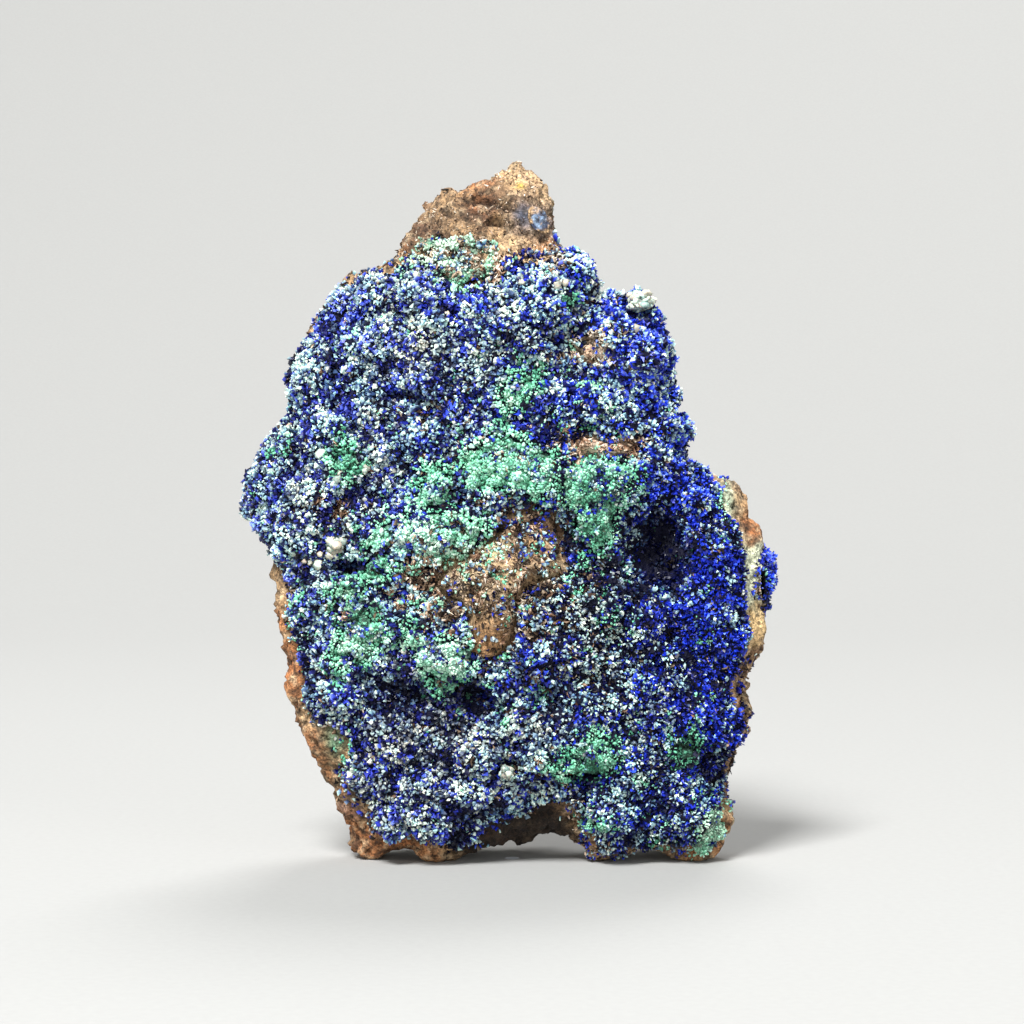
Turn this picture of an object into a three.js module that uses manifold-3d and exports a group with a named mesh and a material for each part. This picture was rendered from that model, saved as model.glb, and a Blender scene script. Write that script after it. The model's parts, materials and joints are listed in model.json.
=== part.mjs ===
// Azurite and malachite specimen: a thick blue druse and green crusts grown over iron-stained rock.
// Frame: millimetres, +Z up, +X to the right seen from the front. The crystal face looks along -Y.
// The origin lies under the middle of the specimen, on the surface that its cut foot stands on.
import * as THREE from "three";
import Module from "manifold-3d";
import { mergeVertices } from "three/addons/utils/BufferGeometryUtils.js";

const wasm = await Module();
wasm.setup();

// Driving dimensions.
const ROCK_FRONT = 9.4; // rock face ahead of the middle plane, at the middle of the specimen
const ROCK_BACK = 14.6; // rock back behind the middle plane
const MIDDLE_HEIGHT = 42; // height at which the front and back bulge most
const SUMMIT_FOOT = 78; // above this height the bare summit leans back and thins
const CRUST_THICKNESS = 3.4;
const CRUST_EDGE_SHARE = 0.35; // share of that thickness left where the crust dies out on rock
const CRUST_TAPER = 4; // distance over which it dies out
const CRUST_SKIRT = -2.5; // how far back the crust wraps round the rim, as a Y level
const GAP = 0.3; // clearance between neighbouring pieces
const ROCK_GRID = 3.6;
const CRUST_GRID = 3.1;
const PATCH_GRID = 2.0;
const OUTLINE_STEP = 3.0; // length of an outline's straight pieces
const FAR = 60; // beyond the specimen in every direction

// Outlines seen from the front, as [x, z], clockwise from the top. Smooth curves run through the points.
const rockOutline = [
  [0.3, 94.9], [2.2, 94.1], [4.3, 92.0], [4.8, 89.4], [5.8, 86.4], [6.2, 82.8], [9.0, 78.0], [12.0, 74.5],
  [16.8, 73.6], [19.2, 70.0], [19.6, 65.0], [20.3, 60.5], [21.2, 56.0], [23.5, 52.6], [27.5, 51.8],
  [30.6, 51.5], [32.0, 48.6], [33.6, 43.6], [33.4, 40.0], [33.6, 36.5], [34.2, 33.0], [34.4, 30.4],
  [33.6, 28.0], [31.6, 26.4], [31.4, 23.6], [32.0, 20.6], [32.2, 18.0], [30.6, 15.4], [29.3, 12.6],
  [29.2, 8.0], [29.3, 4.2], [28.0, 1.2], [25.4, -0.9], [22.8, -0.5], [20.6, 1.5], [16.4, 1.5],
  [13.2, 0.2], [11.2, -0.4], [9.2, 2.8], [6.2, 4.5], [3.9, 2.6], [0.4, 1.7], [-4.6, 1.9], [-7.6, -0.2],
  [-9.4, -0.9], [-12.0, 0.0], [-14.2, 2.0], [-17.0, 0.9], [-19.6, -0.7], [-21.5, 1.3], [-22.5, 5.4],
  [-24.5, 10.2], [-26.8, 14.2], [-28.4, 19.0], [-29.4, 21.9], [-30.9, 23.2], [-30.2, 26.0],
  [-30.8, 30.6], [-31.2, 34.2], [-31.9, 37.4], [-31.6, 42.0], [-32.2, 47.0], [-32.4, 52.0],
  [-29.6, 56.4], [-28.2, 62.0], [-27.8, 67.4], [-27.9, 71.4], [-26.8, 73.4], [-25.0, 75.0],
  [-23.8, 78.0], [-20.8, 79.3], [-17.2, 79.9], [-15.2, 81.4], [-14.2, 84.2], [-12.6, 88.0],
  [-9.8, 90.6], [-7.6, 90.5], [-5.6, 92.0], [-3.4, 92.2], [-1.1, 93.8],
];
const crustOutline = [
  [-13.0, 82.1], [-11.0, 81.2], [-9.2, 78.2], [-6.4, 76.7], [-3.4, 78.0], [-1.4, 80.8], [0.4, 82.0],
  [2.6, 79.9], [5.0, 81.6], [7.8, 82.9], [9.6, 81.3], [10.2, 79.4], [11.8, 77.7], [11.5, 75.4],
  [13.0, 76.6], [15.5, 77.3], [18.0, 76.4], [19.6, 74.0], [21.4, 72.4], [21.9, 70.4], [21.4, 67.2],
  [22.2, 64.4], [22.2, 61.4], [23.9, 59.6], [24.0, 57.2], [22.9, 54.6], [25.6, 53.3], [28.5, 51.9],
  [28.2, 48.4], [30.3, 45.6], [31.2, 41.0], [31.6, 36.6], [31.3, 32.6], [32.6, 29.8], [31.2, 27.0],
  [29.6, 24.2], [30.6, 21.2], [31.7, 18.2], [31.4, 15.4], [28.9, 13.2], [28.5, 9.0], [26.4, 5.6],
  [24.2, 2.2], [20.4, 2.5], [16.0, 2.0], [12.2, 1.5], [9.6, 3.6], [8.6, 7.4], [6.4, 9.5], [3.2, 8.4],
  [0.4, 6.2], [-3.8, 5.4], [-5.8, 2.6], [-8.8, 2.0], [-11.8, 4.3], [-15.6, 3.5], [-18.3, 4.4],
  [-18.8, 8.6], [-22.2, 9.8], [-22.2, 14.4], [-22.2, 18.6], [-26.0, 19.2], [-27.7, 21.0],
  [-27.6, 25.0], [-29.2, 30.0], [-30.3, 34.4], [-29.6, 38.0], [-31.9, 41.0], [-33.8, 43.6],
  [-35.2, 47.0], [-36.2, 51.0], [-35.6, 54.4], [-33.4, 56.9], [-31.5, 58.2], [-31.0, 62.0],
  [-30.0, 64.2], [-31.2, 66.8], [-30.6, 69.0], [-28.4, 69.4], [-26.6, 72.0], [-25.0, 75.4],
  [-22.0, 77.4], [-19.0, 79.2], [-15.6, 79.6],
];
// Places inside the crust where the rock is bare.
const bareOutlines = [
  [ // the boss in the middle
    [0.5, 47.8], [4.6, 48.4], [6.6, 45.6], [5.8, 42.4], [8.0, 40.4], [5.6, 38.2], [1.6, 38.4],
    [0.4, 35.6], [0.6, 32.4], [-1.4, 28.4], [-5.0, 28.0], [-5.6, 33.6], [-8.2, 36.2], [-10.4, 38.4],
    [-6.4, 41.6], [-2.4, 44.6],
  ],
  [[9.6, 57.3], [13.6, 57.0], [16.2, 55.4], [14.4, 54.6], [10.4, 55.0], [8.2, 55.2]], // ledge on the knoll
  [[10.2, 70.6], [12.4, 69.6], [11.6, 67.2], [8.8, 67.6], [8.2, 69.6]], // seam between the upper lobes
];
// Malachite crusts: each fills its outline down to the rock and rises that far above the druse.
const malachiteCrusts = [
  { name: "malachite_crust_centre", rise: 0.8, colour: 0x74d3a8, outline: [
    [-2.0, 58.6], [1.2, 56.2], [4.8, 55.4], [5.8, 52.6], [4.4, 50.2], [-1.0, 50.8], [-6.0, 51.2],
    [-6.8, 54.2], [-3.6, 56.4] ] },
  { name: "malachite_nodule_left", rise: 1.4, colour: 0x6fd0a4, outline: [
    [-9.8, 53.3], [-8.2, 52.4], [-8.3, 50.4], [-8.6, 48.8], [-12.2, 48.7], [-12.2, 49.9], [-11.0, 50.6],
    [-11.5, 52.2] ] },
  { name: "malachite_crust_left_band", rise: 0.7, colour: 0x86dcb6, outline: [
    [-18.6, 44.4], [-14.0, 46.6], [-9.0, 47.4], [-5.4, 46.6], [-3.6, 45.2], [-5.6, 43.0], [-8.6, 41.2],
    [-11.4, 39.8], [-13.6, 42.2], [-15.8, 42.4], [-17.0, 38.4], [-19.4, 38.8], [-18.6, 41.6] ] },
  { name: "malachite_knoll_right", rise: 1.0, colour: 0x5fbf93, outline: [
    [8.4, 54.6], [12.0, 54.1], [15.6, 53.6], [16.0, 50.6], [14.2, 49.6], [13.2, 47.0], [12.4, 43.6],
    [9.8, 42.8], [8.8, 46.0], [7.2, 49.0], [6.9, 52.4] ] },
  { name: "malachite_crust_left", rise: 0.4, colour: 0x55a982, outline: [
    [-20.4, 38.0], [-19.2, 36.4], [-19.2, 33.4], [-17.0, 33.6], [-16.0, 31.8], [-18.0, 29.8],
    [-19.6, 27.6], [-22.6, 27.0], [-24.4, 28.4], [-22.2, 30.4], [-22.4, 33.6], [-23.6, 36.4] ] },
  { name: "malachite_crust_lower_left", rise: 0.9, colour: 0x8fe3c0, outline: [
    [-13.8, 32.6], [-11.2, 32.0], [-9.6, 30.2], [-6.6, 30.4], [-5.2, 28.0], [-6.6, 26.0], [-8.0, 24.8],
    [-8.4, 23.0], [-10.0, 23.4], [-10.2, 26.0], [-12.0, 28.0], [-13.0, 30.2] ] },
  { name: "malachite_crust_bottom", rise: 0.7, colour: 0x63c898, outline: [
    [11.2, 17.4], [13.6, 16.4], [13.2, 14.2], [12.2, 12.8], [9.6, 13.1], [7.0, 12.6], [6.0, 13.9],
    [8.6, 15.6] ] },
  { name: "malachite_crust_corner", rise: 0.4, colour: 0xa9dcc0, outline: [
    [27.0, 8.0], [28.4, 7.2], [28.5, 4.0], [27.4, 1.9], [25.4, 1.0], [24.9, 2.3], [26.2, 4.4], [26.5, 6.4] ] },
  { name: "malachite_crust_top", rise: 0.1, colour: 0x9ccfb0, outline: [
    [-12.2, 84.2], [-9.4, 83.6], [-5.6, 83.8], [-2.0, 82.9], [-1.9, 81.0], [-3.6, 78.8], [-6.4, 77.6],
    [-8.8, 78.8], [-10.4, 81.8], [-13.2, 82.7] ] },
  { name: "malachite_spot_upper", rise: 0.4, colour: 0x5cc294, outline: [
    [1.2, 65.4], [2.6, 64.6], [2.0, 62.8], [0.2, 61.4], [-1.6, 61.8], [-0.8, 63.6] ] },
  { name: "malachite_spot_left", rise: 0.3, colour: 0x3f9a6e, outline: [
    [-22.0, 56.0], [-20.4, 54.8], [-20.8, 53.0], [-23.0, 53.0], [-23.4, 55.0] ] },
  { name: "malachite_spot_low_right", rise: 0.2, colour: 0x3c8d66, outline: [
    [22.8, 17.8], [24.2, 17.0], [23.8, 15.2], [22.0, 15.0], [21.8, 16.8] ] },
];
// Broad swells (+) and hollows (-) of the face, as height towards the viewer at the middle of each.
const reliefs = [
  { x: -3, z: 33, radius: 8.5, height: 3.0 }, // the bare boss
  { x: 19.4, z: 44.5, radius: 4.8, height: -5.6 }, // vug on the right
  { x: 20.5, z: 38.0, radius: 3.6, height: -2.6 },
  { x: 5.8, z: 44.5, radius: 3.2, height: -2.2 }, // hollow beside the boss
  { x: 11, z: 50.5, radius: 5.5, height: 2.2 }, // malachite knoll
  { x: -5.5, z: 22.5, radius: 4.2, height: -3.4 }, // hollow under the boss
  { x: -13.5, z: 23.5, radius: 4.0, height: -1.6 },
  { x: -21, z: 40.3, radius: 3.4, height: -2.2 }, // slit on the left
  { x: -13.5, z: 61.2, radius: 3.2, height: -1.6 },
  { x: 9.8, z: 69, radius: 3.8, height: -1.8 }, // seam between the upper lobes
  { x: 12.2, z: 76, radius: 2.4, height: -2.4 }, // notch between them
  { x: 17, z: 67, radius: 7, height: 1.2 }, // upper right lobe
  { x: 0, z: 76, radius: 7, height: 1.3 }, // upper lobes
  { x: -27, z: 51, radius: 9, height: 1.4 }, // left shoulder
  { x: 26, z: 40, radius: 6, height: 1.4 }, // right shoulder
  { x: 27, z: 20, radius: 7, height: 1.0 },
  { x: 1.5, z: 3.5, radius: 6, height: -5.0 }, // undercut above the foot
  { x: 10, z: 12.2, radius: 2.6, height: -1.6 },
  { x: -21, z: 5, radius: 5, height: -2.2 }, // lower left corner stands back
];
// Flat breaks of the rock, as a point on the break and the direction it faces.
const breaks = [
  { at: [0, 0, 0], facing: [0, 0, -1] }, // the foot
  { at: [-26, 7, 70], facing: [-0.62, 0.62, 0.48] },
  { at: [22, 6, 66], facing: [0.7, 0.66, 0.3] },
  { at: [-29, 5, 34], facing: [-0.72, 0.68, 0.12] },
  { at: [-23, 8, 12], facing: [-0.66, 0.62, -0.4] },
  { at: [31, 6, 34], facing: [0.62, 0.76, 0.2] },
  { at: [29, 9, 12], facing: [0.66, 0.7, -0.26] },
  { at: [6, 14.6, 52], facing: [0.2, 0.96, 0.18] },
  { at: [-11, 13.8, 24], facing: [-0.2, 0.97, -0.12] },
  { at: [-14, 11.4, 58], facing: [-0.3, 0.92, 0.24] },
  { at: [-4, 4.5, 92], facing: [-0.1, 0.8, 0.6] },
  { at: [3, 13.0, 5], facing: [0.05, 0.82, -0.56] },
];

// Smooth noise from -1 to 1 on a lattice of the given size.
function noise(x, z, size, seed) {
  const corner = (i, k) => {
    const s = Math.sin(i * 127.1 + k * 311.7 + seed * 74.7) * 43758.5453;
    return 2 * (s - Math.floor(s)) - 1;
  };
  const i = Math.floor(x / size);
  const k = Math.floor(z / size);
  const u = THREE.MathUtils.smoothstep(x / size - i, 0, 1);
  const v = THREE.MathUtils.smoothstep(z / size - k, 0, 1);
  const low = THREE.MathUtils.lerp(corner(i, k), corner(i + 1, k), u);
  const high = THREE.MathUtils.lerp(corner(i, k + 1), corner(i + 1, k + 1), u);
  return THREE.MathUtils.lerp(low, high, v);
}

// A closed smooth curve through outline points, as points a step apart, moved outwards by grow.
function smoothOutline(points, grow = 0) {
  const curve = new THREE.CatmullRomCurve3(
    points.map(([x, z]) => new THREE.Vector3(x, z, 0)), true, "centripetal");
  const count = Math.max(12, Math.round(curve.getLength() / OUTLINE_STEP));
  const found = curve.getSpacedPoints(count).slice(0, count).map((p) => new THREE.Vector2(p.x, p.y));
  const outwards = THREE.ShapeUtils.isClockWise(found) ? 1 : -1;
  return found.map((p, i) => {
    const along = found[(i + 1) % count].clone().sub(found[(i + count - 1) % count]).normalize();
    return p.clone().add(new THREE.Vector2(-along.y, along.x).multiplyScalar(grow * outwards));
  });
}

// How far a point lies inside a closed outline, negative outside it.
function depthInside(outline, x, z) {
  let nearest = Infinity;
  let inside = false;
  outline.forEach((a, i) => {
    const b = outline[(i + 1) % outline.length];
    const along = b.clone().sub(a);
    const share = THREE.MathUtils.clamp(
      ((x - a.x) * along.x + (z - a.y) * along.y) / along.lengthSq(), 0, 1);
    nearest = Math.min(nearest, Math.hypot(x - a.x - share * along.x, z - a.y - share * along.y));
    if (a.y > z !== b.y > z && x < a.x + ((z - a.y) / along.y) * along.x) inside = !inside;
  });
  return inside ? nearest : -nearest;
}

const rockEdge = smoothOutline(rockOutline);
const crustEdge = smoothOutline(crustOutline);
const bareEdges = bareOutlines.map((outline) => smoothOutline(outline));

// The Y level of the broad face that rock and crust share.
function faceLevel(x, z) {
  const bulge = ROCK_FRONT - 0.0034 * x * x - 0.0014 * (z - MIDDLE_HEIGHT) ** 2;
  const swell = reliefs.reduce((sum, r) =>
    sum + r.height * Math.exp(-((x - r.x) ** 2 + (z - r.z) ** 2) / r.radius ** 2), 0);
  const lean = 0.1 * Math.max(0, z - SUMMIT_FOOT);
  return -(bulge + swell - lean + 0.7 * noise(x, z, 9, 1));
}

// How far a rounded edge falls back at a distance inside its outline.
function edgeFall(inside, radius) {
  const share = THREE.MathUtils.clamp(1 - inside / radius, 0, 1);
  return radius * (1 - Math.sqrt(1 - share * share));
}

function rockFront(x, z) {
  return faceLevel(x, z) + edgeFall(depthInside(rockEdge, x, z), 3.2) + 0.35 * noise(x, z, 3.4, 2);
}

function rockBack(x, z) {
  const bulge = ROCK_BACK - 0.003 * x * x - 0.001 * (z - MIDDLE_HEIGHT) ** 2;
  const thinning = 0.34 * Math.max(0, z - SUMMIT_FOOT);
  const fall = edgeFall(depthInside(rockEdge, x, z), 8);
  return bulge - thinning - fall + 1.0 * noise(x, z, 8, 3) + 0.5 * noise(x, z, 3.7, 4);
}

// The druse thins towards its edge on rock and rounds off where it overhangs the rim.
function crustFront(x, z) {
  const fromEdge = Math.min(
    depthInside(crustEdge, x, z), ...bareEdges.map((edge) => -depthInside(edge, x, z)));
  const fullness = THREE.MathUtils.smoothstep(fromEdge, -1, CRUST_TAPER);
  const thickness = CRUST_THICKNESS * THREE.MathUtils.lerp(CRUST_EDGE_SHARE, 1, fullness);
  const overhang = 1 - THREE.MathUtils.smoothstep(depthInside(rockEdge, x, z), -1, 3.5);
  const fall = overhang * edgeFall(depthInside(crustEdge, x, z), 4.2);
  return faceLevel(x, z) - thickness + fall - 0.6 * noise(x, z, 4.6, 5);
}

// A solid of manifold-3d from a three.js geometry.
function solidOf(geometry) {
  const bare = geometry.clone();
  bare.deleteAttribute("normal");
  bare.deleteAttribute("uv");
  const merged = mergeVertices(bare, 1e-4);
  return new wasm.Manifold(new wasm.Mesh({
    numProp: 3,
    vertProperties: merged.getAttribute("position").array,
    triVerts: new Uint32Array(merged.index.array),
  }));
}

// A slab between two reliefs, as a finely divided box whose front and back skins are pushed to them.
// Its divisions fall on whole steps of the spacing, so slabs of one spacing line up with each other.
function slab(outline, spacing, front, back) {
  const box = new THREE.Box2().setFromPoints(outline);
  const low = box.min.clone().divideScalar(spacing).floor().subScalar(1);
  const high = box.max.clone().divideScalar(spacing).ceil().addScalar(1);
  const steps = high.clone().sub(low);
  const geometry = new THREE.BoxGeometry(
    steps.x * spacing, 1, steps.y * spacing, steps.x, 1, steps.y);
  geometry.translate((low.x + high.x) * spacing / 2, 0, (low.y + high.y) * spacing / 2);
  const place = geometry.getAttribute("position");
  for (let i = 0; i < place.count; i += 1) {
    const skin = place.getY(i) < 0 ? front : back;
    place.setY(i, skin(place.getX(i), place.getZ(i)));
  }
  return solidOf(geometry);
}

// A straight prism of an outline through the whole depth.
function prism(outline) {
  const geometry = new THREE.ExtrudeGeometry(
    new THREE.Shape(outline), { depth: 2 * FAR, bevelEnabled: false, steps: 1 });
  geometry.rotateX(Math.PI / 2);
  geometry.translate(0, FAR, 0);
  return solidOf(geometry);
}

// Everything beyond a flat break, moved outwards by grow.
function beyond({ at, facing }, grow) {
  const normal = new THREE.Vector3(...facing).normalize();
  const geometry = new THREE.BoxGeometry(4 * FAR, 4 * FAR, 2 * FAR);
  geometry.translate(0, 0, FAR + grow);
  geometry.applyQuaternion(
    new THREE.Quaternion().setFromUnitVectors(new THREE.Vector3(0, 0, 1), normal));
  geometry.translate(...at);
  return solidOf(geometry);
}

// The rock, or with grow the space that its neighbours leave for it.
function rockSolid(grow = 0) {
  const edge = smoothOutline(rockOutline, grow);
  const blank = slab(edge, ROCK_GRID,
    (x, z) => rockFront(x, z) - grow, (x, z) => rockBack(x, z) + grow).intersect(prism(edge));
  return breaks.reduce((rock, flat) => rock.subtract(beyond(flat, grow)), blank);
}

// A lump: a sphere squeezed to three radii, with a knobbly skin.
function lump([x, y, z], radii, seed, detail) {
  const geometry = new THREE.IcosahedronGeometry(1, detail);
  geometry.deleteAttribute("normal");
  geometry.deleteAttribute("uv");
  const place = geometry.getAttribute("position");
  const point = new THREE.Vector3();
  for (let i = 0; i < place.count; i += 1) {
    point.fromBufferAttribute(place, i);
    const knob = 1 + 0.12 * noise(point.x + point.y, point.z - point.y, 0.45, seed);
    place.setXYZ(i, point.x * radii[0] * knob, point.y * radii[1] * knob, point.z * radii[2] * knob);
  }
  geometry.translate(x, y, z);
  return solidOf(geometry);
}

// The largest body of a solid, without the slivers that cuts leave.
function mainBody(solid) {
  return solid.decompose().reduce((most, body) => (body.volume() > most.volume() ? body : most));
}

function meshOf(name, solid, colour, roughness) {
  const found = mainBody(solid).getMesh();
  const geometry = new THREE.BufferGeometry();
  geometry.setAttribute("position", new THREE.BufferAttribute(found.vertProperties, found.numProp));
  geometry.setIndex(new THREE.BufferAttribute(found.triVerts, 1));
  geometry.computeVertexNormals();
  const mesh = new THREE.Mesh(
    geometry, new THREE.MeshStandardMaterial({ color: colour, roughness, metalness: 0 }));
  mesh.name = name;
  return mesh;
}

const specimen = new THREE.Group();
const rock = rockSolid();
const rockSpace = rockSolid(GAP);
specimen.add(meshOf("matrix_rock", rock, 0x8f6a48, 0.95));

// Malachite crusts sit on the rock and fill their outlines through the druse.
const outlineCuts = [];
malachiteCrusts.forEach(({ name, rise, colour, outline }, i) => {
  const edge = smoothOutline(outline);
  const top = (x, z) => crustFront(x, z) - rise * Math.min(1, Math.max(0, depthInside(edge, x, z)))
    - 0.25 * noise(x, z, 1.9, 10 + i);
  const crust = slab(edge, PATCH_GRID, top, () => CRUST_SKIRT + 3).intersect(prism(edge));
  specimen.add(meshOf(name, crust.subtract(rockSpace), colour, 0.8));
  outlineCuts.push(prism(smoothOutline(outline, GAP)));
});

// White calcite grown as knots of grains in the crust.
const calciteKnots = [
  { name: "calcite_knot_upper_right", x: 17.0, z: 75.2, sink: 0.6, radii: [2.0, 2.0, 1.5] },
  { name: "calcite_knot_left", x: -23.2, z: 43.2, sink: 0.4, radii: [1.3, 1.5, 1.2] },
  { name: "calcite_knot_low_middle", x: -0.8, z: 13.3, sink: 0.3, radii: [1.0, 1.3, 1.0] },
];
const knotSpaces = calciteKnots.map(({ name, x, z, sink, radii }, i) => {
  const at = [x, crustFront(x, z) + sink, z];
  specimen.add(meshOf(name, lump(at, radii, 20 + i, 2).subtract(rockSpace), 0xe6efe2, 0.6));
  return lump(at, radii.map((r) => r + GAP), 20 + i, 2);
});

// The azurite druse, round the bare places, the malachite and the calcite.
const druse = [...bareEdges.map(prism), ...outlineCuts, ...knotSpaces, rockSpace].reduce(
  (left, cut) => left.subtract(cut),
  slab(crustEdge, CRUST_GRID, crustFront, (x, z) => CRUST_SKIRT + 1.4 * noise(x, z, 5, 6))
    .intersect(prism(crustEdge)));
specimen.add(meshOf("azurite_druse", druse, 0x2231a0, 0.35));

// Azurite of its own on the right flank, and a thin film of it on the summit.
specimen.add(meshOf("azurite_flank_crust",
  lump([33.0, 2.4, 37.9], [3.1, 6.4, 5.3], 31, 3).subtract(rockSpace).subtract(
    prism(smoothOutline(crustOutline, GAP))), 0x2233c4, 0.4));
const filmEdge = smoothOutline([[2.4, 88.2], [4.4, 87.6], [5.2, 85.6], [5.0, 84.2], [3.4, 84.6], [2.0, 86.2]]);
specimen.add(meshOf("azurite_summit_film",
  slab(filmEdge, PATCH_GRID, (x, z) => rockFront(x, z) - 0.95 - 0.15 * noise(x, z, 1.5, 7), () => 0)
    .intersect(prism(filmEdge)).subtract(rockSpace), 0x4d6386, 0.6));

export default specimen;
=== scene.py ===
"""An upright mineral specimen: azurite druse, malachite crusts and white grains grown on iron-stained rock.

Lengths are millimetres until a mesh is made, and metres from then on. X runs to the right, Z up, and the
crystal face looks along -Y.
"""

import json
import math
from types import SimpleNamespace

import bmesh
import bpy
import numpy as np
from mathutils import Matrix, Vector, noise
from mathutils.bvhtree import BVHTree


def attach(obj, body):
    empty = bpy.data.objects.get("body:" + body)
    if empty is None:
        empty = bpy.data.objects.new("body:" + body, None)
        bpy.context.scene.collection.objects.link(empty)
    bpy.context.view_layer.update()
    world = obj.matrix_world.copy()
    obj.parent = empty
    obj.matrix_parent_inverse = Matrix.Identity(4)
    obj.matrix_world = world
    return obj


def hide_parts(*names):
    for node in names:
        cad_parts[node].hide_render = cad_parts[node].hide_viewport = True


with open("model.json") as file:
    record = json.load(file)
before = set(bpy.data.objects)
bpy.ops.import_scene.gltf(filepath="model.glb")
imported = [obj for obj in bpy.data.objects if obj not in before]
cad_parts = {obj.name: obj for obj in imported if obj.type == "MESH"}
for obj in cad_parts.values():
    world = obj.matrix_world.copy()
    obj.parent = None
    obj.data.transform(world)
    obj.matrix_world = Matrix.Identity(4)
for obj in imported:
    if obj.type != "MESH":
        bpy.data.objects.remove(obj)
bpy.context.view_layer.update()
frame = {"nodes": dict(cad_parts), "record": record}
chance = np.random.default_rng(1907)

MM = 0.001
# The middle of the bare boss, as x and z.
BOSS_X, BOSS_Z = -2, 39
# A normal's y below this looks out of the crystal face.
FACING = -0.4
# The lobes of the druse and the knobs of the green crusts, each as a size and a seed.
DRUSE_LOBES = (6.0, 11)
GREEN_KNOBS = (2.3, 31)


# ---- camera, floor and light


def new_object(name, data):
    """A new object of a camera, lamp or mesh, in the scene."""
    made = bpy.data.objects.new(name, data)
    bpy.context.scene.collection.objects.link(made)
    return made


def place_camera():
    """A long lens a little above the level of the specimen's middle, as for a catalogue portrait."""
    aim, distance, rise = Vector((0, -0.002, 0.0472)), 0.3835, math.radians(2)
    camera = new_object("portrait_camera", bpy.data.cameras.new("portrait_camera"))
    camera.data.lens = 100
    camera.data.sensor_width = 36
    camera.data.clip_start = 0.01
    camera.location = aim + distance * Vector((0, -math.cos(rise), math.sin(rise)))
    camera.rotation_euler = (aim - camera.location).to_track_quat("-Z", "Y").to_euler()
    bpy.context.scene.camera = camera


def place_light(name, at, aim, size, watts):
    """A square soft box of a size in metres, turned to its aim."""
    lamp = bpy.data.lights.new(name, "AREA")
    lamp.size = size
    lamp.energy = watts
    made = new_object(name, lamp)
    made.location = at
    made.rotation_euler = (Vector(aim) - Vector(at)).to_track_quat("-Z", "Y").to_euler()


def place_floor():
    """A pale round floor, in metres, that sweeps up into a wall on every side."""
    flat, bend, turns = 0.4, 1.1, 96
    profile = [(0.001, 0.0), (flat, 0.0)]
    profile += [(flat + bend * math.sin(angle), bend - bend * math.cos(angle))
                for angle in np.linspace(0.06, math.pi / 2, 20)]
    points = [(r * math.cos(2 * math.pi * k / turns), r * math.sin(2 * math.pi * k / turns), z)
              for r, z in profile for k in range(turns)]
    faces = [(row + k, row + (k + 1) % turns, row + turns + (k + 1) % turns, row + turns + k)
             for row in range(0, turns * (len(profile) - 1), turns) for k in range(turns)]
    mesh = bpy.data.meshes.new("studio_sweep")
    mesh.from_pydata(points, [], faces)
    mesh.shade_smooth()
    mesh.materials.append(studio_paper())
    sweep = new_object("studio_sweep", mesh)


def place_studio():
    """The floor, three soft boxes round the specimen and a faint cool light from all sides."""
    place_floor()
    place_light("key_soft_box", (-0.35, -1.00, 1.33), (0, 0, 0.045), size=0.45, watts=60.0)
    place_light("fill_soft_box", (0.80, -0.80, 0.26), (0, 0, 0.045), size=0.48, watts=4.1)
    place_light("back_soft_box", (0.22, 0.88, 1.32), (0, 0, 0.05), size=0.66, watts=19.0)
    world = bpy.data.worlds.new("studio_air")
    world.use_nodes = True
    air = world.node_tree.nodes["Background"].inputs
    air["Color"].default_value = (0.80, 0.84, 0.90, 1)
    air["Strength"].default_value = 0.14
    bpy.context.scene.world = world
    bpy.context.scene.view_settings.view_transform = "Standard"


# ---- materials


def linear(hex_colour):
    """An sRGB hex colour as linear numbers with alpha 1."""
    parts = [int(hex_colour[i:i + 2], 16) / 255 for i in (1, 3, 5)]
    return tuple(c / 12.92 if c <= 0.04045 else ((c + 0.055) / 1.055) ** 2.4 for c in parts) + (1.0,)


def add(tree, kind, inputs=None, **settings):
    """Adds a node with its settings, and gives each named input a value or another node's output."""
    made = tree.nodes.new(kind)
    for name, value in settings.items():
        setattr(made, name, value)
    for name, value in (inputs or {}).items():
        if isinstance(value, bpy.types.NodeSocket):
            tree.links.new(value, made.inputs[name])
        else:
            made.inputs[name].default_value = value
    return made


def new_material(name):
    """An empty material's node tree, and the material."""
    material = bpy.data.materials.new(name)
    material.use_nodes = True
    material.node_tree.nodes.clear()
    return material, material.node_tree


def finish_material(tree, **surface):
    """Closes a tree with a Principled surface of these inputs."""
    inputs = {name.replace("_", " "): value for name, value in surface.items()}
    shader = add(tree, "ShaderNodeBsdfPrincipled", inputs)
    add(tree, "ShaderNodeOutputMaterial", {"Surface": shader.outputs[0]})


def object_place(tree):
    """Each point's own place, in metres."""
    return add(tree, "ShaderNodeTexCoord").outputs["Object"]


def painted(tree, name, output):
    """What is painted on the mesh under a name."""
    return add(tree, "ShaderNodeAttribute", attribute_name=name).outputs[output]


def scaled(tree, colour, factor):
    """A colour made brighter or darker by a factor."""
    return add(tree, "ShaderNodeVectorMath", {0: colour, "Scale": factor}, operation="SCALE").outputs[0]


def bump(tree, height, strength, distance, **beneath):
    """Fine relief, up to a distance in metres, alone or over the relief given as Normal."""
    inputs = {"Height": height, "Strength": strength, "Distance": distance, **beneath}
    return add(tree, "ShaderNodeBump", inputs).outputs[0]


def studio_paper():
    """Matt paper: an even pale ground that throws soft light back up."""
    material, tree = new_material("matt_studio_paper")
    fibre = add(tree, "ShaderNodeTexNoise", {"Vector": object_place(tree), "Scale": 900.0}).outputs[0]
    shades = {"Factor": fibre, 6: linear("#999997"), 7: linear("#9f9f9d")}
    shade = add(tree, "ShaderNodeMix", shades, data_type="RGBA").outputs[2]
    finish_material(tree, Base_Color=shade, Roughness=0.9)
    return material


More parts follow.
